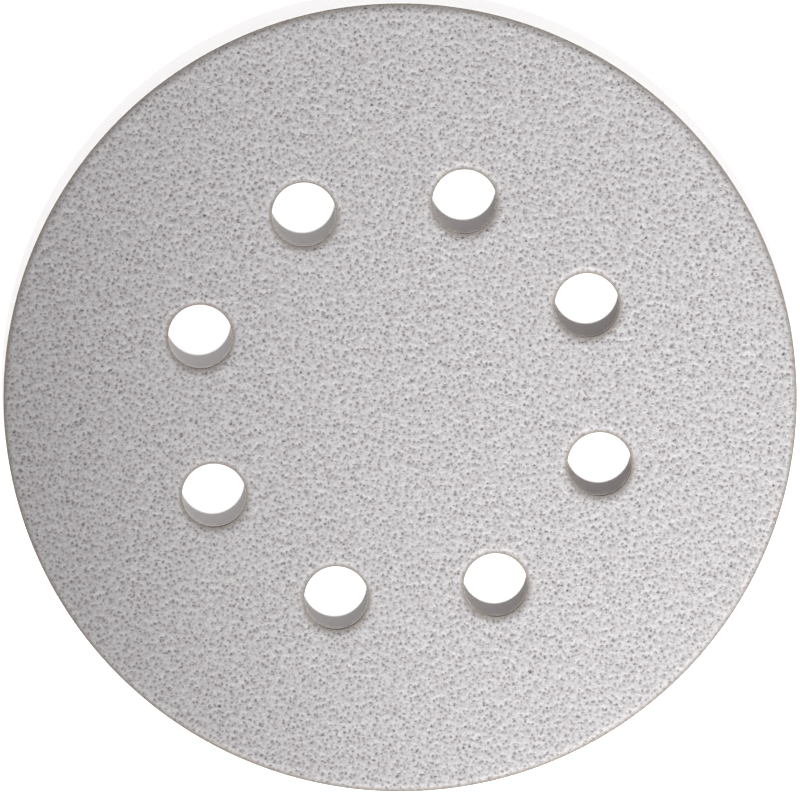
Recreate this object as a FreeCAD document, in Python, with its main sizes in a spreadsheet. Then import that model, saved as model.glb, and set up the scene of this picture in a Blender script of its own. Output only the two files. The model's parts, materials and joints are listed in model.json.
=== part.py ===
"""A round hook-and-loop sanding disc with eight dust holes, lying on its loop face.

The disc is one laminate: grit bonded to heavy paper, with a loop fabric glued to the paper's back. The layers are
pressed together first and the disc is then punched out of the sheet, so it is one solid here, with the thickness
of each layer as a size of its own.

Millimetres. The origin is the centre of the loop face. +Z points out of the grit face, and the first dust hole
lies on +X.
"""

import FreeCAD
import Part

import os

import Sketcher

# Driving sizes: name, value in millimetres or a count, and what it is.
SIZES = [
    ("disc_diameter", 123.0, "across the punched rim"),
    ("grit_thickness", 0.6, "bond coat, grit and anti-clog top coat"),
    ("paper_thickness", 0.4, "heavy paper that carries the grit"),
    ("loop_thickness", 0.8, "loop fabric with its pile standing free"),
    ("hole_count", 8, "dust holes on one circle"),
    ("hole_diameter", 10.0, "each dust hole"),
    ("hole_circle_diameter", 65.0, "circle through the centres of the dust holes"),
    ("pressed_edge", 0.3, "bevel that the punch presses into the grit side along each cut"),
    ("pile_edge", 0.25, "bevel where the pile leans over along each cut, on the loop side"),
]
TOTAL_THICKNESS = "Sizes.grit_thickness + Sizes.paper_thickness + Sizes.loop_thickness"
HOLE_CIRCLE_RADIUS = "Sizes.hole_circle_diameter / 2"
FULL_TURN = 360.0

# The sketch's own origin and x axis, and an edge's centre, as Sketcher numbers them.
ORIGIN_POINT = (-1, 1)
HORIZONTAL_AXIS = -1
CENTRE = 3

# How near an edge lies to a face's height to count as on it, and how near the holes' volumes have to agree.
LEVEL_TOLERANCE = 1e-6
VOLUME_TOLERANCE = 1e-6


def make_sizes(doc):
    """The sheet that every feature reads."""
    sheet = doc.addObject("Spreadsheet::Sheet", "Sizes")
    for row, (name, value, meaning) in enumerate(SIZES, start=1):
        sheet.set(f"A{row}", name)
        sheet.set(f"B{row}", str(value))
        sheet.set(f"C{row}", meaning)
        sheet.setAlias(f"B{row}", name)
    doc.recompute()
    return sheet


def origin_feature(body, role):
    """One of the body's own origin planes or axes, such as XY_Plane or Z_Axis."""
    return next(feature for feature in body.Origin.OriginFeatures if feature.Role == role)


def circle_sketch(body, name, centre_x, diameter):
    """A sketch in the loop face's plane with one circle, which is still free to move and grow."""
    sketch = body.newObject("Sketcher::SketchObject", name)
    sketch.AttachmentSupport = [(origin_feature(body, "XY_Plane"), "")]
    sketch.MapMode = "FlatFace"
    centre = FreeCAD.Vector(centre_x, 0, 0)
    circle = sketch.addGeometry(Part.Circle(centre, FreeCAD.Vector(0, 0, 1), diameter / 2), False)
    sketch.Visibility = False
    return sketch, circle


def dimension(sketch, name, kind, *places, value, formula):
    """A named dimension that starts at value and follows formula on the sheet."""
    index = sketch.addConstraint(Sketcher.Constraint(kind, *places, value))
    sketch.renameConstraint(index, name)
    sketch.setExpression(f"Constraints.{name}", formula)


def make_blank(body, sizes):
    """The punched laminate before its dust holes, all layers thick."""
    sketch, rim = circle_sketch(body, "rim_outline", 0, sizes.disc_diameter)
    sketch.addConstraint(Sketcher.Constraint("Coincident", rim, CENTRE, *ORIGIN_POINT))
    dimension(
        sketch, "disc_diameter", "Diameter", rim,
        value=sizes.disc_diameter, formula="Sizes.disc_diameter",
    )
    blank = body.newObject("PartDesign::Pad", "blank")
    blank.Profile = sketch
    blank.setExpression("Length", TOTAL_THICKNESS)
    return blank


def make_first_hole(body, sizes):
    """The dust hole on +X. The cut runs up from the loop face's plane through the grit face."""
    axis_radius = sizes.hole_circle_diameter / 2
    sketch, hole = circle_sketch(body, "hole_outline", axis_radius, sizes.hole_diameter)
    sketch.addConstraint(Sketcher.Constraint("PointOnObject", hole, CENTRE, HORIZONTAL_AXIS))
    dimension(
        sketch, "hole_circle_radius", "DistanceX", *ORIGIN_POINT, hole, CENTRE,
        value=axis_radius, formula=HOLE_CIRCLE_RADIUS,
    )
    dimension(
        sketch, "hole_diameter", "Diameter", hole,
        value=sizes.hole_diameter, formula="Sizes.hole_diameter",
    )
    first_hole = body.newObject("PartDesign::Pocket", "first_hole")
    first_hole.Profile = sketch
    first_hole.Type = "ThroughAll"
    first_hole.Reversed = True
    return first_hole


def make_hole_ring(body, first_hole):
    """All the dust holes, evenly spaced round the disc's axis."""
    ring = body.newObject("PartDesign::PolarPattern", "dust_holes")
    ring.Originals = [first_hole]
    ring.Axis = (origin_feature(body, "Z_Axis"), [""])
    ring.Angle = FULL_TURN
    ring.setExpression("Occurrences", "Sizes.hole_count")
    body.Tip = ring
    return ring


def edges_at(feature, height):
    """Names of the feature's cut edges, at the rim and in every hole, that lie at this height."""
    names = []
    for number, edge in enumerate(feature.Shape.Edges, start=1):
        box = edge.BoundBox
        if box.ZLength < LEVEL_TOLERANCE and abs(box.ZMin - height) < LEVEL_TOLERANCE:
            names.append(f"Edge{number}")
    return names


def bevel_edges(body, name, base, height, size):
    """Bevels the cut edges at this height, as wide as deep."""
    bevel = body.newObject("PartDesign::Chamfer", name)
    bevel.Base = (base, edges_at(base, height))
    bevel.setExpression("Size", size)
    return bevel


def make_disc(doc, sizes):
    """The whole sanding disc: the blank, its ring of dust holes, and the edges as the punch leaves them."""
    body = doc.addObject("PartDesign::Body", "sanding_disc")
    body.Label = "sanding_disc"
    blank = make_blank(body, sizes)
    doc.recompute()
    first_hole = make_first_hole(body, sizes)
    doc.recompute()
    ring = make_hole_ring(body, first_hole)
    doc.recompute()

    one_hole = blank.Shape.Volume - first_hole.Shape.Volume
    all_holes = blank.Shape.Volume - ring.Shape.Volume
    missing = abs(all_holes - one_hole * sizes.hole_count)
    if one_hole <= 0 or missing > VOLUME_TOLERANCE * all_holes:
        raise RuntimeError("the ring of dust holes wasn't cut in full")

    grit_face = ring.Shape.BoundBox.ZMax
    pressed = bevel_edges(body, "pressed_edges", ring, grit_face, "Sizes.pressed_edge")
    doc.recompute()
    loop_face = pressed.Shape.BoundBox.ZMin
    bevel_edges(body, "pile_edges", pressed, loop_face, "Sizes.pile_edge")
    doc.recompute()
    return body


def check(doc, bodies):
    """Stops the build if a feature failed or a shape can't be used."""
    for item in doc.Objects:
        if "Invalid" in item.State or "Error" in item.State:
            raise RuntimeError(f"{item.Label} failed: {item.State}")
    for body in bodies:
        if body.Shape.isNull() or not body.Shape.isValid():
            raise RuntimeError(f"{body.Label} has no valid shape")


def main():
    doc = FreeCAD.newDocument("sanding_disc_part")
    sizes = make_sizes(doc)
    bodies = [make_disc(doc, sizes)]
    check(doc, bodies)
    os.makedirs("parts", exist_ok=True)
    for body in bodies:
        body.Shape.exportStep(f"parts/{body.Label}.step")
        box = body.Shape.BoundBox
        print(
            f"{body.Label}: {box.XLength:.2f} x {box.YLength:.2f} x {box.ZLength:.2f} mm,"
            f" {len(body.Shape.Solids)} solid, {body.Shape.Volume:.1f} mm3"
        )


main()
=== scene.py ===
"""A round sanding disc with a ring of dust holes, lying grit side up on a white table.

Metres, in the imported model's frame: the origin is the centre of the loop face, +Z points out of the grit
face, and +X runs through the centre of one dust hole. The layers are built in the order in which they are
put together: the paper, the grit and its pale coat on the paper's face, and the loop fabric on its back.
"""

import json
import math

import bpy
import numpy as np
from mathutils import Matrix, Vector

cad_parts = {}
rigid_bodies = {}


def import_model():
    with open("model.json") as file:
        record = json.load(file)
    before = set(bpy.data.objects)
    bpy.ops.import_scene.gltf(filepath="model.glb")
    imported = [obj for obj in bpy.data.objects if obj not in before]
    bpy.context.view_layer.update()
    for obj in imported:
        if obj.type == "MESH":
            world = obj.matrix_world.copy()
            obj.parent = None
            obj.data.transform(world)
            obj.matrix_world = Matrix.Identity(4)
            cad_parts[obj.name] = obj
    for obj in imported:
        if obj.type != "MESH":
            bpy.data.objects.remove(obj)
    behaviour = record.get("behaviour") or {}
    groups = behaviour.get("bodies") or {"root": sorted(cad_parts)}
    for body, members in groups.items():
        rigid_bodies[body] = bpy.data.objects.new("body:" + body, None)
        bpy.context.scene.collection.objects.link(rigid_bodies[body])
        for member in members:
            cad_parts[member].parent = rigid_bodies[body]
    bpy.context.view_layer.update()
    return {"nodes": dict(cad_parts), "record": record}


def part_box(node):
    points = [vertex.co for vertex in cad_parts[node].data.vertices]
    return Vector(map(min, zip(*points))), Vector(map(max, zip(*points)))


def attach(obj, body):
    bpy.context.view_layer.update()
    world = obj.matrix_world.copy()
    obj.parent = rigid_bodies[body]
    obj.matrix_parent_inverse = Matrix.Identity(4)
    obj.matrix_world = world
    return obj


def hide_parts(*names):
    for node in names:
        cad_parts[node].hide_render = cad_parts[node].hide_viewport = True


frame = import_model()


# The punched outline. The layers are pressed together as one sheet and the disc is punched out of it, so
# each layer here is a slice of the same solid and has that solid's rim and dust holes.
MM = 0.001
DISC = "sanding_disc"
LOOP_LAYER = 0.8 * MM
PAPER_LAYER = 0.4 * MM
MERGE_DISTANCE = 0.001 * MM

disc_low, disc_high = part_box(DISC)
grit_face = disc_high.z
disc_radius = (disc_high.x - disc_low.x) / 2
paper_back = disc_low.z + LOOP_LAYER
paper_front = paper_back + PAPER_LAYER

dust_holes = next(mount for mount in frame["record"]["mounts"] if mount["name"] == "dust_holes")["dims"]
hole_radius = dust_holes["hole_r_mm"] * MM
hole_centres = [
    Vector((math.cos(turn), math.sin(turn))) * (dust_holes["pcd_mm"] / 2 * MM)
    for turn in (math.tau * number / dust_holes["count"] for number in range(dust_holes["count"]))
]


# The paper. Heavy, resin-soaked abrasive paper, 0.4 mm thick. Only its punched edge shows, as a thin
# brownish line between the grit and the loop fabric, with the fibres of the sheet running round it.
PAPER_FIBRE = 0.12 * MM
PAPER_FIBRE_SHAPE = (0.25, 0.25, 2.0)
PAPER_FIBRE_HEIGHT = 0.05 * MM
PAPER_CORNER = math.radians(30)


def select_only(piece):
    """Leaves the piece as the one selected and active object."""
    bpy.ops.object.select_all(action="DESELECT")
    piece.select_set(True)
    bpy.context.view_layer.objects.active = piece


def copy_of_disc(name):
    """A new piece with the solid disc's mesh, its loose triangles merged into one closed skin."""
    piece = bpy.data.objects.new(name, frame["nodes"][DISC].data.copy())
    bpy.context.scene.collection.objects.link(piece)
    piece.data.materials.clear()
    select_only(piece)
    bpy.ops.object.mode_set(mode="EDIT")
    bpy.ops.mesh.select_all(action="SELECT")
    bpy.ops.mesh.remove_doubles(threshold=MERGE_DISTANCE)
    bpy.ops.object.mode_set(mode="OBJECT")
    return piece


def slice_flat(piece, height, keep):
    """Keeps what lies above or below the height, and closes the cut."""
    select_only(piece)
    bpy.ops.object.mode_set(mode="EDIT")
    bpy.ops.mesh.select_all(action="SELECT")
    bpy.ops.mesh.bisect(
        plane_co=(0, 0, height), plane_no=(0, 0, 1), use_fill=True,
        clear_inner=keep == "above", clear_outer=keep == "below",
    )
    bpy.ops.object.mode_set(mode="OBJECT")


paper = copy_of_disc("paper")
slice_flat(paper, paper_back, keep="above")
slice_flat(paper, paper_front, keep="below")
select_only(paper)
bpy.ops.object.shade_smooth_by_angle(angle=PAPER_CORNER)


def colour(hex_code):
    """An sRGB hex colour as the linear red, green, blue and alpha that a shader takes."""
    channels = [int(hex_code[place:place + 2], 16) / 255 for place in (1, 3, 5)]
    linear = [c / 12.92 if c <= 0.04045 else ((c + 0.055) / 1.055) ** 2.4 for c in channels]
    return (*linear, 1.0)


def add_node(tree, kind, inputs=None, **settings):
    """A new node of that kind, with its settings made and each input either set or linked."""
    node = tree.nodes.new(kind)
    for name, value in settings.items():
        setattr(node, name, value)
    for name, value in (inputs or {}).items():
        if isinstance(value, bpy.types.NodeSocket):
            tree.links.new(value, node.inputs[name])
        else:
            node.inputs[name].default_value = value
    return node


# A Mix node's sockets by number, when it mixes colours: its names are shared with other kinds of value.
MIX_FACTOR, MIX_A, MIX_B, MIX_RESULT = 0, 6, 7, 2


def new_material(name):
    """A new material, its node tree, its shader, and the place on the piece that its patterns read."""
    material = bpy.data.materials.new(name)
    material.use_nodes = True
    tree = material.node_tree
    place = add_node(tree, "ShaderNodeTexCoord").outputs["Object"]
    return material, tree, tree.nodes["Principled BSDF"], place


# Kraft paper soaked in resin and cut by the punch. Its fibres lie flat in the sheet, so the cut shows thin
# brown streaks. They are drawn about four times as coarse as real fibres, so that they show.
resin_paper, tree, shader, place = new_material("resin_soaked_paper")
stretched = add_node(
    tree, "ShaderNodeMapping", {"Vector": place, "Scale": PAPER_FIBRE_SHAPE}
).outputs["Vector"]
fibres = add_node(
    tree, "ShaderNodeTexNoise",
    {"Vector": stretched, "Scale": 1 / PAPER_FIBRE, "Detail": 3.0, "Roughness": 0.6},
).outputs["Fac"]
tone = add_node(
    tree, "ShaderNodeMix",
    {MIX_FACTOR: fibres, MIX_A: colour("#8d8177"), MIX_B: colour("#b7aca1")}, data_type="RGBA",
)
tree.links.new(tone.outputs[MIX_RESULT], shader.inputs["Base Color"])
bump = add_node(tree, "ShaderNodeBump", {"Height": fibres, "Strength": 0.5, "Distance": PAPER_FIBRE_HEIGHT})
tree.links.new(bump.outputs["Normal"], shader.inputs["Normal"])
shader.inputs["Roughness"].default_value = 0.8
shader.inputs["Specular IOR Level"].default_value = 0.3
paper.data.materials.append(resin_paper)
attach(paper, "root")
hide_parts(DISC)


# The grit's coat. The bond that holds the grit is sprayed over with a chalky anti-clog coat, which dries as a
# pale rippled crust, with pits a little under a millimetre apart where the darker bond shows. The pits' dark
# tone is partly that bond and partly painted shade, and the ripple's troughs are darkened with painted shade.
# The crust is thinnest at the cuts, where the punch has pressed its edge down.
COAT_NET = 0.385 * MM
NET_JITTER = 0.2
CUT_CORNER = math.radians(70)
PIT_SPACING = 0.85 * MM
PIT_WANDER = 0.7 * MM
PIT_DEPTH = 0.18 * MM
PIT_EDGE, PIT_MIDDLE = 0.48, 0.02
SHALLOWEST_PIT = 0.5
RIPPLE_WIDTH = 0.42 * MM
RIPPLE_HEIGHT = 0.13 * MM
RIPPLE_CREST, RIPPLE_TROUGH = 0.6, 0.3
# How far the ripple's troughs are darkened towards the pits' tone: painted shade.
PAINTED_TROUGH_SHADE = 0.3
SWELL_WIDTH = 5.0 * MM
SWELL_HEIGHT = 0.06 * MM
USUAL_CREST = 0.75
COAT_TOP = grit_face - 0.1 * MM
ROLLED_WIDTH = 1.2 * MM
ROLLED_DEPTH = 0.38 * MM
BARE_WIDTH = 0.8 * MM
MOTTLE_WIDTH = 2.0 * MM
SPECKLE_WIDTH = 0.3 * MM
POWDER_WIDTH = 0.25 * MM
POWDER_HEIGHT = 0.04 * MM

# A place off the disc's centre, from which no two corners, edges or faces of a wall are equally far.
SORTED_FROM = (11.3 * MM, 7.1 * MM, 0.0)


def flat_places(piece):
    """Where the piece's vertices are, seen from above."""
    corners = np.empty(len(piece.data.vertices) * 3)
    piece.data.vertices.foreach_get("co", corners)
    return corners.reshape(-1, 3)[:, :2]


def nearest_cut(flat):
    """How far inside the nearest punched cut each place is, and the place nearest to it on that cut."""
    from_axis = np.hypot(*flat.T)
    inside = disc_radius - from_axis
    on_cut = flat * (disc_radius / np.maximum(from_axis, MERGE_DISTANCE))[:, None]
    for centre in hole_centres:
        way = flat - np.array(centre)
        from_hole = np.hypot(*way.T)
        nearer = from_hole - hole_radius < inside
        inside[nearer] = from_hole[nearer] - hole_radius
        on_cut[nearer] = np.array(centre) + way[nearer] * (hole_radius / from_hole[nearer])[:, None]
    return inside, on_cut


def move_flat(piece, flat):
    """Moves the piece's vertices to new places seen from above, each at its own height."""
    corners = np.empty(len(piece.data.vertices) * 3)
    piece.data.vertices.foreach_get("co", corners)
    corners.reshape(-1, 3)[:, :2] = flat
    piece.data.vertices.foreach_set("co", corners)
    piece.data.update()


def punched_net(name, net, face, base, seed):
    """A new closed piece: a punched net of even triangles at the face's height, walled in to the base."""
    side = 2 * disc_radius + 4 * net
    columns = round(side / net)
    rows = round(side / (net * math.sqrt(3) / 2))
    bpy.ops.object.select_all(action="DESELECT")
    bpy.ops.mesh.primitive_grid_add(
        x_subdivisions=columns, y_subdivisions=rows, size=side, location=(0, 0, face)
    )
    bpy.ops.object.transform_apply(location=True, rotation=False, scale=False)
    piece = bpy.context.object
    piece.name = name

    flat = flat_places(piece)
    row = np.round((flat[:, 1] + side / 2) / (side / rows))
    flat[:, 0] += np.where(row % 2 == 0, 0.25, -0.25) * side / columns
    inside, on_cut = nearest_cut(flat)
    near = np.abs(inside) < net / 2
    flat[near] = on_cut[near]
    jitter = np.random.default_rng(seed).uniform(-NET_JITTER * net, NET_JITTER * net, flat.shape)
    flat += np.where(inside[:, None] > 2 * net, jitter, 0)
    move_flat(piece, flat)

    bpy.ops.object.mode_set(mode="EDIT")
    bpy.ops.mesh.select_mode(type="VERT")
    bpy.ops.mesh.select_all(action="SELECT")
    bpy.ops.mesh.quads_convert_to_tris(quad_method="SHORTEST_DIAGONAL")
    bpy.ops.mesh.select_all(action="DESELECT")
    bpy.ops.object.mode_set(mode="OBJECT")
    piece.data.vertices.foreach_set("select", inside < -net / 2)
    bpy.ops.object.mode_set(mode="EDIT")
    bpy.ops.mesh.delete(type="VERT")
    bpy.ops.mesh.select_all(action="SELECT")
    bpy.ops.mesh.remove_doubles(threshold=net / 4)
    bpy.ops.mesh.select_all(action="DESELECT")
    bpy.ops.mesh.select_non_manifold()
    bpy.ops.mesh.extrude_edges_move(TRANSFORM_OT_translate={"value": (0, 0, base - face)})

    # The extrusion makes the walls in another order each run, so they are sorted before the base is closed.
    bpy.context.scene.cursor.location = SORTED_FROM
    bpy.ops.mesh.sort_elements(type="CURSOR_DISTANCE", elements={"VERT", "EDGE"})
    bpy.ops.mesh.select_more()
    bpy.ops.mesh.sort_elements(type="CURSOR_DISTANCE", elements={"FACE"})
    bpy.ops.mesh.select_less()
    bpy.ops.mesh.fill(use_beauty=False)
    if base > face:
        bpy.ops.mesh.select_all(action="SELECT")
        bpy.ops.mesh.flip_normals()
    bpy.ops.object.mode_set(mode="OBJECT")
    return piece


def keep_cut_distance(piece):
    """Stores how far each vertex is from the nearest cut, for the piece's relief and material to read."""
    inside, _ = nearest_cut(flat_places(piece))
    attribute = piece.data.attributes.new("cut_distance", "FLOAT", "POINT")
    attribute.data.foreach_set("value", np.maximum(inside, 0).astype(np.float32))


def add_crust(tree, place):
    """Nodes for the crust: its ripple, 0.5 on the whole, and how deep in a pit each place is, 0 to 1."""
    wander = add_node(
        tree, "ShaderNodeTexNoise", {"Vector": place, "Scale": 1 / PIT_SPACING, "Detail": 1.0}
    ).outputs["Color"]
    centred = add_node(
        tree, "ShaderNodeVectorMath", {0: wander, 1: (0.5, 0.5, 0.5)}, operation="SUBTRACT"
    ).outputs["Vector"]
    offset = add_node(
        tree, "ShaderNodeVectorMath", {0: centred, "Scale": PIT_WANDER}, operation="SCALE"
    ).outputs["Vector"]
    warped = add_node(
        tree, "ShaderNodeVectorMath", {0: place, 1: offset}, operation="ADD"
    ).outputs["Vector"]
    cells = add_node(
        tree, "ShaderNodeTexVoronoi", {"Vector": warped, "Scale": 1 / PIT_SPACING, "Randomness": 0.9},
        voronoi_dimensions="2D",
    )
    hollow = add_node(
        tree, "ShaderNodeMapRange",
        {"Value": cells.outputs["Distance"], "From Min": PIT_EDGE, "From Max": PIT_MIDDLE},
        interpolation_type="SMOOTHSTEP",
    ).outputs["Result"]
    chance = add_node(tree, "ShaderNodeSeparateXYZ", {0: cells.outputs["Color"]}).outputs["X"]
    depth = add_node(
        tree, "ShaderNodeMapRange", {"Value": chance, "To Min": SHALLOWEST_PIT}
    ).outputs["Result"]
    pit = add_node(tree, "ShaderNodeMath", {0: hollow, 1: depth}, operation="MULTIPLY").outputs["Value"]
    ripple = add_node(
        tree, "ShaderNodeTexNoise", {"Vector": place, "Scale": 1 / RIPPLE_WIDTH, "Detail": 0.0}
    ).outputs["Fac"]
    return ripple, pit


def add_powder(tree, place):
    """Nodes for the dried spray's powder: its tone, 0 to 1, and the normals that its bumps give."""
    powder = add_node(
        tree, "ShaderNodeTexNoise",
        {"Vector": place, "Scale": 1 / POWDER_WIDTH, "Detail": 2.0, "Roughness": 0.6},
    ).outputs["Fac"]
    powdery = add_node(
        tree, "ShaderNodeBump", {"Height": powder, "Strength": 0.25, "Distance": POWDER_HEIGHT}
    ).outputs["Normal"]
    return powder, powdery


def new_geometry_tree(name):
    """A node tree for a modifier, with its one geometry input and output."""
    tree = bpy.data.node_groups.new(name, "GeometryNodeTree")
    tree.interface.new_socket("Geometry", in_out="INPUT", socket_type="NodeSocketGeometry")
    tree.interface.new_socket("Geometry", in_out="OUTPUT", socket_type="NodeSocketGeometry")
    return tree


def apply_geometry_tree(piece, tree):
    """Runs the tree on the piece's mesh and keeps the result."""
    modifier = piece.modifiers.new(tree.name, "NODES")
    modifier.node_group = tree
    select_only(piece)
    bpy.ops.object.modifier_apply(modifier=modifier.name)


coat = punched_net("grit_coat", COAT_NET, grit_face, paper_front, seed=3)
keep_cut_distance(coat)
relief = new_geometry_tree("crust_relief")
skin = add_node(relief, "NodeGroupInput").outputs["Geometry"]
place = add_node(relief, "GeometryNodeInputPosition").outputs["Position"]
distance = add_node(
    relief, "GeometryNodeInputNamedAttribute", {"Name": "cut_distance"}, data_type="FLOAT"
).outputs["Attribute"]
standing = add_node(
    relief, "ShaderNodeMapRange",
    {"Value": distance, "From Max": ROLLED_WIDTH},
    interpolation_type="SMOOTHERSTEP",
).outputs["Result"]
ripple, pit = add_crust(relief, place)
swell = add_node(
    relief, "ShaderNodeTexNoise", {"Vector": place, "Scale": 1 / SWELL_WIDTH, "Detail": 1.0}
).outputs["Fac"]
pit_floor = add_node(
    relief, "ShaderNodeMath", {0: pit, 1: -PIT_DEPTH}, operation="MULTIPLY"
).outputs["Value"]
rippled = add_node(
    relief, "ShaderNodeMath", {0: ripple, 1: RIPPLE_HEIGHT, 2: pit_floor}, operation="MULTIPLY_ADD"
).outputs["Value"]
swollen = add_node(
    relief, "ShaderNodeMath", {0: swell, 1: SWELL_HEIGHT, 2: rippled}, operation="MULTIPLY_ADD"
).outputs["Value"]

# The swell and the ripple seldom rise above this, so what stands there comes to the coat's top.
usual_height = (SWELL_HEIGHT + RIPPLE_HEIGHT) * USUAL_CREST
above_roll = add_node(
    relief, "ShaderNodeMath",
    {0: swollen, 1: ROLLED_DEPTH + COAT_TOP - grit_face - usual_height}, operation="ADD",
).outputs["Value"]
rolled = add_node(
    relief, "ShaderNodeMath", {0: above_roll, 1: standing, 2: -ROLLED_DEPTH}, operation="MULTIPLY_ADD"
).outputs["Value"]
height = add_node(relief, "ShaderNodeSeparateXYZ", {0: place}).outputs["Z"]
on_top = add_node(
    relief, "ShaderNodeMath", {0: height, 1: (paper_front + grit_face) / 2}, operation="GREATER_THAN"
).outputs["Value"]
upward = add_node(relief, "ShaderNodeCombineXYZ", {"Z": rolled}).outputs["Vector"]
crust = add_node(
    relief, "GeometryNodeSetPosition", {"Geometry": skin, "Selection": on_top, "Offset": upward}
).outputs["Geometry"]
add_node(relief, "NodeGroupOutput", {"Geometry": crust})
apply_geometry_tree(coat, relief)
select_only(coat)
bpy.ops.object.shade_smooth_by_angle(angle=CUT_CORNER)

# A stearate coat, sprayed on wet and left to dry: matt and pale grey, tinted unevenly where the spray fell
# unevenly, darker in its pits, partly from the bond that shows there and partly as painted shade, darker in
# its ripple's troughs as painted shade, and brown at the cuts. Its powder is drawn ten times as coarse as it
# is, so that it shows.
chalk, tree, shader, place = new_material("chalky_anti_clog_coat")
ripple, pit = add_crust(tree, place)
mottle = add_node(
    tree, "ShaderNodeTexNoise",
    {"Vector": place, "Scale": 1 / MOTTLE_WIDTH, "Detail": 3.0, "Roughness": 0.6},
).outputs["Fac"]
crust_tone = add_node(
    tree, "ShaderNodeMix",
    {MIX_FACTOR: mottle, MIX_A: colour("#c4c1c3"), MIX_B: colour("#dadad9")}, data_type="RGBA",
).outputs[MIX_RESULT]
# Painted shade: the ripple's troughs are darkened, up to a share of the pits' tone.
hollow = add_node(
    tree, "ShaderNodeMapRange",
    {"Value": ripple, "From Min": RIPPLE_CREST, "From Max": RIPPLE_TROUGH, "To Max": PAINTED_TROUGH_SHADE},
).outputs["Result"]
# The pits' dark tone is partly the bond that shows there and partly painted shade; the troughs' darkening is
# painted shade.
pits_and_painted_trough_shade = add_node(tree, "ShaderNodeMath", {0: pit, 1: hollow}, operation="MAXIMUM").outputs["Value"]
pitted_and_trough_shaded_tone = add_node(
    tree, "ShaderNodeMix",
    {MIX_FACTOR: pits_and_painted_trough_shade, MIX_A: crust_tone, MIX_B: colour("#837d7f")}, data_type="RGBA",
).outputs[MIX_RESULT]
distance = add_node(
    tree, "ShaderNodeAttribute", attribute_name="cut_distance", attribute_type="GEOMETRY"
).outputs["Fac"]
speckle = add_node(
    tree, "ShaderNodeTexNoise",
    {"Vector": place, "Scale": 1 / SPECKLE_WIDTH, "Detail": 1.0, "Roughness": 0.7},
).outputs["Fac"]
bare = add_node(
    tree, "ShaderNodeMapRange", {"Value": distance, "From Min": BARE_WIDTH, "From Max": 0.0},
    interpolation_type="SMOOTHSTEP",
).outputs["Result"]
bond_tone = add_node(
    tree, "ShaderNodeMix",
    {MIX_FACTOR: speckle, MIX_A: colour("#6f6760"), MIX_B: colour("#b9b1a9")}, data_type="RGBA",
).outputs[MIX_RESULT]
tone = add_node(
    tree, "ShaderNodeMix", {MIX_FACTOR: bare, MIX_A: pitted_and_trough_shaded_tone, MIX_B: bond_tone}, data_type="RGBA"
).outputs[MIX_RESULT]
tree.links.new(tone, shader.inputs["Base Color"])
_, powdery = add_powder(tree, place)
fine_ripple = add_node(
    tree, "ShaderNodeBump",
    {"Height": ripple, "Strength": 0.2, "Distance": RIPPLE_HEIGHT, "Normal": powdery},
).outputs["Normal"]
tree.links.new(fine_ripple, shader.inputs["Normal"])
shader.inputs["Roughness"].default_value = 0.9
shader.inputs["Specular IOR Level"].default_value = 0.2
coat.data.materials.append(chalk)
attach(coat, "root")
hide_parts(DISC)


# The grit. Blocky crystals of coarse abrasive are sunk in the crust, and only the tips of the larger ones
# break through it. The spray has covered them too, so they show by their edges and their shadows.
GRAIN_WIDTH = 0.9 * MM
GRAIN_HEIGHT = 0.26 * MM
GRAIN_SPACING = 0.86 * MM
GRAIN_SHAPES = 4
GRAIN_CORNERS = 5
GRAIN_UNEVENNESS = GRAIN_WIDTH / 20
GRAIN_LIFT = -0.12 * MM
GRAIN_TURN = (0.2, 0.2, math.pi)
GRAIN_SIZES = (0.7, 1.1)
GRAIN_FROM_CUT = 0.6 * MM

# Aluminium oxide under the dried spray: matt, and a little darker than the crust, because the spray runs off
# the tips. Its powder is as coarse as the crust's.
chalky_grain, tree, shader, place = new_material("chalk_covered_crystal")
powder, powdery = add_powder(tree, place)
tone = add_node(
    tree, "ShaderNodeMix",
    {MIX_FACTOR: powder, MIX_A: colour("#b4b1b2"), MIX_B: colour("#c4c1c2")}, data_type="RGBA",
).outputs[MIX_RESULT]
tree.links.new(tone, shader.inputs["Base Color"])
tree.links.new(powdery, shader.inputs["Normal"])
shader.inputs["Roughness"].default_value = 0.9
shader.inputs["Specular IOR Level"].default_value = 0.2

grain_shapes = bpy.data.collections.new("grain_shapes")
bpy.context.scene.collection.children.link(grain_shapes)
for number in range(GRAIN_SHAPES):
    bpy.ops.object.select_all(action="DESELECT")
    bpy.ops.mesh.primitive_cone_add(
        vertices=GRAIN_CORNERS, radius1=GRAIN_WIDTH / 2, radius2=GRAIN_WIDTH / 4, depth=GRAIN_HEIGHT
    )
    grain = bpy.context.object
    grain.name = f"grain_shape_{number}"
    bpy.ops.object.mode_set(mode="EDIT")
    bpy.ops.mesh.select_all(action="SELECT")
    bpy.ops.transform.vertex_random(offset=GRAIN_UNEVENNESS, seed=number + 1)
    bpy.ops.mesh.convex_hull()
    bpy.ops.mesh.quads_convert_to_tris()
    bpy.ops.object.mode_set(mode="OBJECT")
    grain.data.materials.append(chalky_grain)
    for home in grain.users_collection:
        home.objects.unlink(grain)
    grain_shapes.objects.link(grain)


# How far a face must look up or down to carry copies, and how many places are tried in a spacing's square.
FACES_ENOUGH = 0.4
PLACES_TRIED = 6


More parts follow.
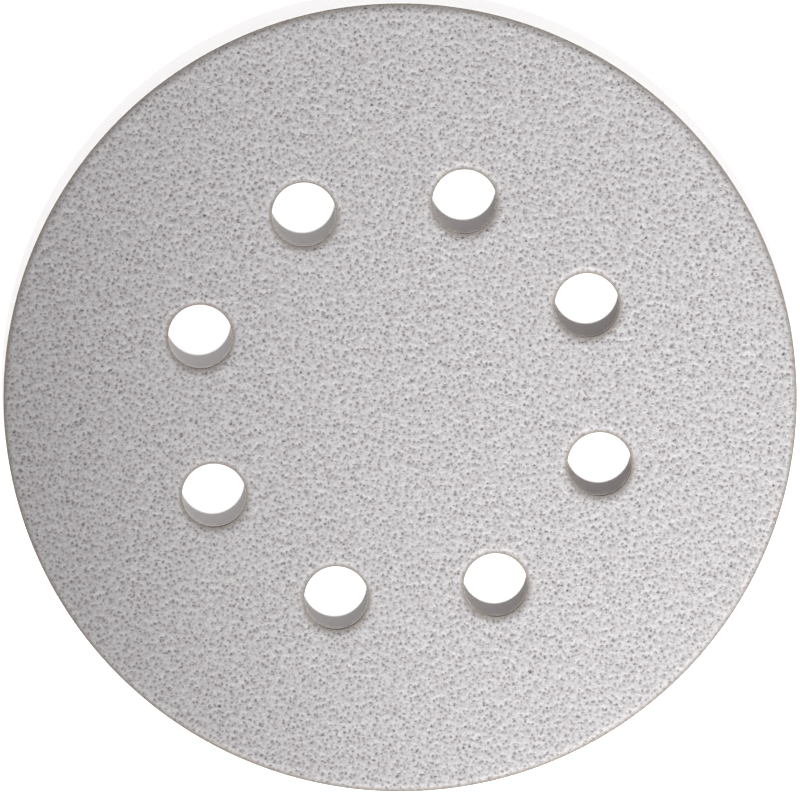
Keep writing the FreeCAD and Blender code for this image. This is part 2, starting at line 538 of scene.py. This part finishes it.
def sprinkle(name, carrier, shapes, spacing, clear_of_cuts, facing, turn, sizes, lift, seed):
    """A new piece: copies of the shapes, at random but evenly, on one side of the carrier's skin.

    facing is 1 for the side that looks up and -1 for the side that looks down, turn the most that a copy is
    turned about X, Y and Z, sizes the smallest and largest scale, and lift how far a copy is moved up.
    """
    piece = bpy.data.objects.new(name, carrier.data.copy())
    bpy.context.scene.collection.objects.link(piece)
    tree = new_geometry_tree(f"{name}_sprinkle")
    skin = add_node(tree, "NodeGroupInput").outputs["Geometry"]
    normal = add_node(tree, "GeometryNodeInputNormal").outputs["Normal"]
    up = add_node(tree, "ShaderNodeSeparateXYZ", {0: normal}).outputs["Z"]
    facing_up = add_node(tree, "ShaderNodeMath", {0: up, 1: facing}, operation="MULTIPLY").outputs["Value"]
    on_face = add_node(
        tree, "ShaderNodeMath", {0: facing_up, 1: FACES_ENOUGH}, operation="GREATER_THAN"
    ).outputs["Value"]
    distance = add_node(
        tree, "GeometryNodeInputNamedAttribute", {"Name": "cut_distance"}, data_type="FLOAT"
    ).outputs["Attribute"]
    clear = add_node(
        tree, "ShaderNodeMath", {0: distance, 1: clear_of_cuts}, operation="GREATER_THAN"
    ).outputs["Value"]
    wanted = add_node(tree, "ShaderNodeMath", {0: on_face, 1: clear}, operation="MULTIPLY").outputs["Value"]
    points = add_node(
        tree, "GeometryNodeDistributePointsOnFaces",
        {
            "Mesh": skin, "Distance Min": spacing, "Density Max": PLACES_TRIED / spacing**2,
            "Density Factor": wanted, "Seed": seed,
        },
        distribute_method="POISSON",
    ).outputs["Points"]
    choice = add_node(
        tree, "GeometryNodeCollectionInfo",
        {"Collection": shapes, "Separate Children": True, "Reset Children": True},
    ).outputs["Instances"]
    rotation = add_node(
        tree, "FunctionNodeRandomValue",
        {"Min": tuple(-angle for angle in turn), "Max": turn, "Seed": seed + 1}, data_type="FLOAT_VECTOR",
    ).outputs["Value"]
    size = add_node(
        tree, "FunctionNodeRandomValue",
        {"Min": (sizes[0],) * 3, "Max": (sizes[1],) * 3, "Seed": seed + 2}, data_type="FLOAT_VECTOR",
    ).outputs["Value"]
    copies = add_node(
        tree, "GeometryNodeInstanceOnPoints",
        {"Points": points, "Instance": choice, "Pick Instance": True, "Rotation": rotation, "Scale": size},
    ).outputs["Instances"]
    moved = add_node(
        tree, "GeometryNodeTranslateInstances",
        {"Instances": copies, "Translation": (0.0, 0.0, lift), "Local Space": False},
    ).outputs["Instances"]
    real = add_node(tree, "GeometryNodeRealizeInstances", {"Geometry": moved}).outputs["Geometry"]
    add_node(tree, "NodeGroupOutput", {"Geometry": real})
    apply_geometry_tree(piece, tree)
    return piece


grit = sprinkle(
    "grit", coat, grain_shapes, GRAIN_SPACING, clear_of_cuts=GRAIN_FROM_CUT, facing=1,
    turn=GRAIN_TURN, sizes=GRAIN_SIZES, lift=GRAIN_LIFT, seed=11,
)
select_only(grit)
bpy.ops.object.shade_smooth()
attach(grit, "root")
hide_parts(DISC)


# The loop fabric's ground. A knitted nylon web, glued to the back of the paper, that the loops grow out of.
# Its rows of stitches run straight across the disc, a millimetre apart, under fibres that the brushing
# pulled out.
PILE_HEIGHT = 0.45 * MM
GROUND_NET = 0.48 * MM
STITCH_PITCH = 1.0 * MM
STITCH_HEIGHT = 0.06 * MM
TANGLE_WIDTH = 2.5 * MM
TANGLE_HEIGHT = 0.1 * MM
TANGLE_WAVES = 3
MATTED_WIDTH = 0.5 * MM
MATTED_DEPTH = 0.28 * MM
CUT_END_WIDTH = 0.2 * MM
FIBRE_PITCH = 0.22 * MM
FIBRE_WANDER = 1.5 * MM
FIBRE_LAYERS = 3
FIBRE_SHOWS = 0.6
FIBRE_HEIGHT = 0.05 * MM

# A Wave texture whose scale is this has one wave in each metre.
ONE_WAVE = math.tau / 20


def add_tangles(tree, place):
    """Nodes for soft tangles that wander over the ground, 0 between them and 1 on them."""
    drift = add_node(
        tree, "ShaderNodeTexNoise",
        {"Vector": place, "Scale": 1 / TANGLE_WIDTH, "Detail": 1.0, "Distortion": 0.5},
    ).outputs["Fac"]
    turned = add_node(
        tree, "ShaderNodeMath", {0: drift, 1: TANGLE_WAVES * math.tau}, operation="MULTIPLY"
    ).outputs["Value"]
    wave = add_node(tree, "ShaderNodeMath", {0: turned}, operation="SINE").outputs["Value"]
    return add_node(
        tree, "ShaderNodeMath", {0: wave, 1: 0.5, 2: 0.5}, operation="MULTIPLY_ADD"
    ).outputs["Value"]


def add_fibres(tree, place):
    """Nodes for fibres that were brushed every way, 0 between them and 1 on them."""
    wander = add_node(
        tree, "ShaderNodeTexNoise", {"Vector": place, "Scale": 1 / FIBRE_WANDER, "Detail": 1.0}
    ).outputs["Color"]
    offset = add_node(
        tree, "ShaderNodeVectorMath", {0: wander, "Scale": FIBRE_WANDER}, operation="SCALE"
    ).outputs["Vector"]
    warped = add_node(
        tree, "ShaderNodeVectorMath", {0: place, 1: offset}, operation="ADD"
    ).outputs["Vector"]
    on_fibre = 0.0
    for layer in range(FIBRE_LAYERS):
        turned = add_node(
            tree, "ShaderNodeMapping",
            {"Vector": warped, "Rotation": (0.0, 0.0, layer * math.pi / FIBRE_LAYERS)},
        ).outputs["Vector"]
        lines = add_node(
            tree, "ShaderNodeTexWave",
            {"Vector": turned, "Scale": ONE_WAVE / FIBRE_PITCH, "Distortion": 1.5, "Detail": 1.0},
        ).outputs["Fac"]
        patches = add_node(
            tree, "ShaderNodeTexNoise",
            {"Vector": place, "W": float(layer), "Scale": 2 / FIBRE_WANDER, "Detail": 1.0},
            noise_dimensions="4D",
        ).outputs["Fac"]
        shown = add_node(
            tree, "ShaderNodeMapRange", {"Value": patches, "From Min": 0.4, "From Max": 0.6}
        ).outputs["Result"]
        laid = add_node(tree, "ShaderNodeMath", {0: lines, 1: shown}, operation="MULTIPLY").outputs["Value"]
        on_fibre = add_node(
            tree, "ShaderNodeMath", {0: on_fibre, 1: laid}, operation="MAXIMUM"
        ).outputs["Value"]
    return on_fibre


def add_stitches(tree, place):
    """Nodes for the rows of stitches, 0 between them and 1 on them."""
    return add_node(
        tree, "ShaderNodeTexWave",
        {
            "Vector": place, "Scale": ONE_WAVE / STITCH_PITCH, "Distortion": 1.5,
            "Detail": 2.0, "Detail Scale": 2.0,
        },
    ).outputs["Fac"]


ground = punched_net("loop_ground", GROUND_NET, disc_low.z + PILE_HEIGHT, paper_back, seed=5)
keep_cut_distance(ground)
weave = new_geometry_tree("knit_relief")
skin = add_node(weave, "NodeGroupInput").outputs["Geometry"]
place = add_node(weave, "GeometryNodeInputPosition").outputs["Position"]
stitched = add_node(
    weave, "ShaderNodeMath", {0: add_stitches(weave, place), 1: -STITCH_HEIGHT}, operation="MULTIPLY"
).outputs["Value"]
tangled = add_node(
    weave, "ShaderNodeMath", {0: add_tangles(weave, place), 1: -TANGLE_HEIGHT, 2: stitched},
    operation="MULTIPLY_ADD",
).outputs["Value"]
distance = add_node(
    weave, "GeometryNodeInputNamedAttribute", {"Name": "cut_distance"}, data_type="FLOAT"
).outputs["Attribute"]
matted = add_node(
    weave, "ShaderNodeMapRange",
    {"Value": distance, "From Max": MATTED_WIDTH, "To Min": -MATTED_DEPTH, "To Max": 0.0},
    interpolation_type="SMOOTHSTEP",
).outputs["Result"]
lowered = add_node(weave, "ShaderNodeMath", {0: tangled, 1: matted}, operation="ADD").outputs["Value"]
height = add_node(weave, "ShaderNodeSeparateXYZ", {0: place}).outputs["Z"]
on_back = add_node(
    weave, "ShaderNodeMath", {0: height, 1: (disc_low.z + PILE_HEIGHT + paper_back) / 2},
    operation="LESS_THAN",
).outputs["Value"]
downward = add_node(weave, "ShaderNodeCombineXYZ", {"Z": lowered}).outputs["Vector"]
knitted = add_node(
    weave, "GeometryNodeSetPosition", {"Geometry": skin, "Selection": on_back, "Offset": downward}
).outputs["Geometry"]
add_node(weave, "NodeGroupOutput", {"Geometry": knitted})
apply_geometry_tree(ground, weave)
select_only(ground)
bpy.ops.object.shade_smooth_by_angle(angle=CUT_CORNER)

# Knitted nylon, brushed on its face: dull off-white with a soft sheen, darker between its rows of stitches as
# painted shade, and grey-brown where the punch has sheared and matted it. Its fibres are drawn about four
# times as thick as they are, so that they show.
knit, tree, shader, place = new_material("knitted_nylon_ground")
stitches = add_stitches(tree, place)
fibres = add_fibres(tree, place)
# Painted shade: the knit is darker in the troughs between its rows of stitches and lighter on their crests.
row_tone_with_painted_shade = add_node(
    tree, "ShaderNodeMix",
    {MIX_FACTOR: stitches, MIX_A: colour("#b6b2ac"), MIX_B: colour("#cfccc6")}, data_type="RGBA",
).outputs[MIX_RESULT]
fibre_share = add_node(
    tree, "ShaderNodeMath", {0: fibres, 1: FIBRE_SHOWS}, operation="MULTIPLY"
).outputs["Value"]
fibre_tone = add_node(
    tree, "ShaderNodeMix",
    {MIX_FACTOR: fibre_share, MIX_A: row_tone_with_painted_shade, MIX_B: colour("#e2dfda")}, data_type="RGBA",
).outputs[MIX_RESULT]
distance = add_node(
    tree, "ShaderNodeAttribute", attribute_name="cut_distance", attribute_type="GEOMETRY"
).outputs["Fac"]
matted = add_node(
    tree, "ShaderNodeMapRange", {"Value": distance, "From Min": MATTED_WIDTH, "From Max": 0.0}
).outputs["Result"]
cut_ends = add_node(
    tree, "ShaderNodeTexNoise",
    {"Vector": place, "Scale": 1 / CUT_END_WIDTH, "Detail": 2.0, "Roughness": 0.7},
).outputs["Fac"]
cut_tone = add_node(
    tree, "ShaderNodeMix",
    {MIX_FACTOR: cut_ends, MIX_A: colour("#7d766e"), MIX_B: colour("#b8b2aa")}, data_type="RGBA",
).outputs[MIX_RESULT]
tone = add_node(
    tree, "ShaderNodeMix", {MIX_FACTOR: matted, MIX_A: fibre_tone, MIX_B: cut_tone}, data_type="RGBA"
).outputs[MIX_RESULT]
tree.links.new(tone, shader.inputs["Base Color"])
bump = add_node(tree, "ShaderNodeBump", {"Height": fibres, "Strength": 0.6, "Distance": FIBRE_HEIGHT})
tree.links.new(bump.outputs["Normal"], shader.inputs["Normal"])
shader.inputs["Roughness"].default_value = 0.8
shader.inputs["Specular IOR Level"].default_value = 0.3
shader.inputs["Sheen Weight"].default_value = 0.2
ground.data.materials.append(knit)
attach(ground, "root")
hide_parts(DISC)


# The loop pile. Nylon loops, brushed so that they lean every way, which the pad's hooks catch. Each is an
# arch of yarn with both feet in the ground, and together they are the face that the disc lies on.
LOOP_SPACING = 1.12 * MM
LOOP_RADIUS = 0.3 * MM
LOOP_STRETCH = 1.35
LOOP_LIFT = 0.04 * MM
LOOP_TURN = (0.9, 0.4, math.pi)
LOOP_SIZES = (0.8, 1.15)
LOOP_FROM_CUT = 0.65 * MM
YARN_RADIUS = 0.075 * MM
YARN_SHADE_WIDTH = 1.5 * MM
FILAMENT_WIDTH = 0.1 * MM
FILAMENT_HEIGHT = 0.03 * MM

loop_shapes = bpy.data.collections.new("loop_shapes")
bpy.context.scene.collection.children.link(loop_shapes)
bpy.ops.object.select_all(action="DESELECT")
bpy.ops.mesh.primitive_torus_add(
    major_segments=8, minor_segments=4, major_radius=LOOP_RADIUS, minor_radius=YARN_RADIUS,
    rotation=(math.pi / 2, 0, 0),
)
loop = bpy.context.object
loop.name = "loop_shape"
bpy.ops.transform.resize(value=(LOOP_STRETCH, 1, 1))
bpy.ops.object.transform_apply(location=False, rotation=True, scale=True)
slice_flat(loop, 0.0, keep="below")
for home in loop.users_collection:
    home.objects.unlink(loop)
loop_shapes.objects.link(loop)

# Nylon yarn of many filaments, knitted in and brushed: off-white and silky, and painted lighter than the
# ground, as painted light for lying open to the light. Its filaments are drawn about four times as thick as
# they are, so that they show.
yarn, tree, shader, place = new_material("brushed_nylon_yarn")
shade = add_node(
    tree, "ShaderNodeTexNoise", {"Vector": place, "Scale": 1 / YARN_SHADE_WIDTH, "Detail": 2.0}
).outputs["Fac"]
# Painted light: these tones are lighter than the ground's, though it is the same nylon.
tone = add_node(
    tree, "ShaderNodeMix",
    {MIX_FACTOR: shade, MIX_A: colour("#d2cfc9"), MIX_B: colour("#f0eeea")}, data_type="RGBA",
)
tree.links.new(tone.outputs[MIX_RESULT], shader.inputs["Base Color"])
filaments = add_node(
    tree, "ShaderNodeTexNoise", {"Vector": place, "Scale": 1 / FILAMENT_WIDTH, "Detail": 1.0}
).outputs["Fac"]
bump = add_node(tree, "ShaderNodeBump", {"Height": filaments, "Strength": 0.4, "Distance": FILAMENT_HEIGHT})
tree.links.new(bump.outputs["Normal"], shader.inputs["Normal"])
shader.inputs["Roughness"].default_value = 0.6
shader.inputs["Sheen Weight"].default_value = 0.3
loop.data.materials.append(yarn)

pile = sprinkle(
    "loop_pile", ground, loop_shapes, LOOP_SPACING, clear_of_cuts=LOOP_FROM_CUT, facing=-1,
    turn=LOOP_TURN, sizes=LOOP_SIZES, lift=LOOP_LIFT, seed=23,
)

# Where a loop would reach through the table, it is pressed flat on it.
corners = np.empty(len(pile.data.vertices) * 3)
pile.data.vertices.foreach_get("co", corners)
corners[2::3] = np.maximum(corners[2::3], disc_low.z)
pile.data.vertices.foreach_set("co", corners)
pile.data.update()
select_only(pile)
bpy.ops.object.shade_smooth()
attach(pile, "root")
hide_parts(DISC)
for shapes in (grain_shapes, loop_shapes):
    for shape in list(shapes.objects):
        bpy.data.objects.remove(shape)
    bpy.data.collections.remove(shapes)


# The table and the light. A white table, a lamp that stands low beyond the disc's lower right as the camera
# sees it, with a shade that lets its light fall off towards the left, and a pale room all round.
PICTURE_RIGHT = math.radians(17.81)
picture_x = Vector((math.cos(PICTURE_RIGHT), math.sin(PICTURE_RIGHT), 0))
picture_y = Vector((-math.sin(PICTURE_RIGHT), math.cos(PICTURE_RIGHT), 0))
straight_up = Vector((0, 0, 1))
disc_centre = Vector((0, 0, grit_face))
TABLE_GAP = 0.02 * MM
TABLE_SIDE = 2.0

bpy.ops.object.select_all(action="DESELECT")
bpy.ops.mesh.primitive_plane_add(size=TABLE_SIDE, location=(0, 0, disc_low.z - TABLE_GAP))
table = bpy.context.object
table.name = "table"

# A matt white table top. What the camera sees of it glows with painted light: lifted to white away from the
# disc, lifted less under it and near it, where the disc's shadow falls, and under the disc lifted more
# towards the left, where the lamp's beam is weaker. It is clear from below and stops no light, so that the
# disc's back can be seen and lit from there.
HOLES_LEFT, HOLES_RIGHT = -40 * MM, 30 * MM
LIFT_LEFT, LIFT_RIGHT = 0.18, 0.02
NEAR_RIM = (45 * MM, 60 * MM)
NEAR_RIM_LIFT = 0.75
PAST_RIM = (64 * MM, 80 * MM)
PAST_RIM_LIFT = 0.9

white, tree, shader, place = new_material("white_table")
shader.inputs["Base Color"].default_value = colour("#ffffff")
shader.inputs["Roughness"].default_value = 1.0
shader.inputs["Specular IOR Level"].default_value = 0.0
turned = add_node(
    tree, "ShaderNodeMapping", {"Vector": place, "Rotation": (0.0, 0.0, -PICTURE_RIGHT)}
).outputs["Vector"]
across = add_node(tree, "ShaderNodeSeparateXYZ", {0: turned}).outputs["X"]
# Painted light: under the disc the glow runs from more on the left to less on the right, against the lamp's
# fall-off.
under_disc = add_node(
    tree, "ShaderNodeMapRange",
    {
        "Value": across, "From Min": HOLES_LEFT, "From Max": HOLES_RIGHT,
        "To Min": LIFT_LEFT, "To Max": LIFT_RIGHT,
    },
).outputs["Result"]
reach = add_node(tree, "ShaderNodeVectorMath", {0: place}, operation="LENGTH").outputs["Value"]
beyond_disc = add_node(
    tree, "ShaderNodeMapRange",
    {"Value": reach, "From Min": NEAR_RIM[0], "From Max": NEAR_RIM[1], "To Max": NEAR_RIM_LIFT},
).outputs["Result"]
far_off = add_node(
    tree, "ShaderNodeMapRange",
    {"Value": reach, "From Min": PAST_RIM[0], "From Max": PAST_RIM[1], "To Max": PAST_RIM_LIFT},
).outputs["Result"]
painted_glow_near = add_node(
    tree, "ShaderNodeMath", {0: under_disc, 1: beyond_disc}, operation="MAXIMUM"
).outputs["Value"]
painted_glow_level = add_node(
    tree, "ShaderNodeMath", {0: painted_glow_near, 1: far_off}, operation="MAXIMUM"
).outputs["Value"]
seen = add_node(tree, "ShaderNodeLightPath").outputs["Is Camera Ray"]
glow = add_node(tree, "ShaderNodeMath", {0: seen, 1: painted_glow_level}, operation="MULTIPLY").outputs["Value"]
shader.inputs["Emission Color"].default_value = colour("#ffffff")
tree.links.new(glow, shader.inputs["Emission Strength"])
from_below = add_node(tree, "ShaderNodeNewGeometry").outputs["Backfacing"]
clear = add_node(tree, "ShaderNodeBsdfTransparent").outputs["BSDF"]
one_sided = add_node(tree, "ShaderNodeMixShader", {0: from_below, 1: shader.outputs["BSDF"], 2: clear})
tree.links.new(one_sided.outputs["Shader"], tree.nodes["Material Output"].inputs["Surface"])
table.data.materials.append(white)
table.visible_shadow = False

# The shaded lamp. Its beam is centred past the disc's right side, where a colour renders about as it is
# written, and fades across the disc to the left.
LAMP_TURN = math.radians(-82)
LAMP_RISE = math.radians(35)
LAMP_DISTANCE = 1.0
LAMP_AIM = Vector((0.085, 0.036))
LAMP_BEAM = 0.417
LAMP_LEVEL = 0.99
LAMP_BULB_RADIUS = 0.04

lamp_side = math.cos(LAMP_TURN) * picture_x + math.sin(LAMP_TURN) * picture_y
lamp_way = math.cos(LAMP_RISE) * lamp_side + math.sin(LAMP_RISE) * straight_up
lamp_place = disc_centre + LAMP_DISTANCE * lamp_way
lamp_aim = disc_centre + LAMP_AIM.x * picture_x + LAMP_AIM.y * picture_y
lamp_data = bpy.data.lights.new("shaded_lamp", "SPOT")
lamp_data.energy = LAMP_LEVEL * (2 * math.pi * LAMP_DISTANCE) ** 2 / math.sin(LAMP_RISE)
lamp_data.shadow_soft_size = LAMP_BULB_RADIUS
lamp_data.spot_size = LAMP_BEAM
lamp_data.spot_blend = 1.0
lamp = bpy.data.objects.new("shaded_lamp", lamp_data)
bpy.context.scene.collection.objects.link(lamp)
lamp.location = lamp_place
lamp.rotation_mode = "QUATERNION"
lamp.rotation_quaternion = (lamp_place - lamp_aim).to_track_quat("Z", "Y")

# The lamp under the table. It lights the disc's back for a look from below. As the camera sees the disc, its
# light reaches no more than slivers of the cuts.
UNDER_TILT = math.radians(25)
UNDER_LEVEL = 0.8
UNDER_SPREAD = 0.3

under_data = bpy.data.lights.new("lamp_under_table", "SUN")
under_data.energy = UNDER_LEVEL * math.pi
under_data.angle = UNDER_SPREAD
under_lamp = bpy.data.objects.new("lamp_under_table", under_data)
bpy.context.scene.collection.objects.link(under_lamp)
under_lamp.rotation_mode = "QUATERNION"
under_way = math.sin(UNDER_TILT) * picture_x - math.cos(UNDER_TILT) * straight_up
under_lamp.rotation_quaternion = under_way.to_track_quat("Z", "Y")

# The room. It lights the disc a little from all round, faintly pink, and the camera sees it as white.
ROOM_LEVEL = 0.2
ROOM_TINT = (1.0, 0.91, 0.93, 1.0)

world = bpy.data.worlds.new("pale_room")
bpy.context.scene.world = world
world.use_nodes = True
tree = world.node_tree
tree.nodes.clear()
seen = add_node(tree, "ShaderNodeLightPath").outputs["Is Camera Ray"]
strength = add_node(tree, "ShaderNodeMapRange", {"Value": seen, "To Min": ROOM_LEVEL}).outputs["Result"]
tint = add_node(
    tree, "ShaderNodeMix", {MIX_FACTOR: seen, MIX_A: ROOM_TINT, MIX_B: colour("#ffffff")},
    data_type="RGBA",
).outputs[MIX_RESULT]
sky = add_node(tree, "ShaderNodeBackground", {"Color": tint, "Strength": strength}).outputs["Background"]
add_node(tree, "ShaderNodeOutputWorld", {"Surface": sky})


# The camera. It looks down on the disc, tipped a little from the top of the picture.
PICTURE_SIDE = 800
PICTURE_SCALE = 6455
DISC_IN_PICTURE = Vector((400.2, 401))
CAMERA_DISTANCE = 1.0
CAMERA_TIP = math.radians(7)
SENSOR_WIDTH = 36

aside = (PICTURE_SIDE / 2 - DISC_IN_PICTURE.x) / PICTURE_SCALE * picture_x
aside += (DISC_IN_PICTURE.y - PICTURE_SIDE / 2) / PICTURE_SCALE * picture_y
camera_way = math.sin(CAMERA_TIP) * picture_y + math.cos(CAMERA_TIP) * straight_up
camera_up = math.cos(CAMERA_TIP) * picture_y - math.sin(CAMERA_TIP) * straight_up
camera_data = bpy.data.cameras.new("camera")
camera_data.sensor_width = SENSOR_WIDTH
camera_data.lens = CAMERA_DISTANCE * PICTURE_SCALE / PICTURE_SIDE * SENSOR_WIDTH
camera = bpy.data.objects.new("camera", camera_data)
bpy.context.scene.collection.objects.link(camera)
facing = Matrix((picture_x, camera_up, camera_way)).transposed().to_4x4()
camera.matrix_world = Matrix.Translation(disc_centre + aside + CAMERA_DISTANCE * camera_way) @ facing
bpy.context.scene.camera = camera
bpy.context.scene.view_settings.view_transform = "Standard"
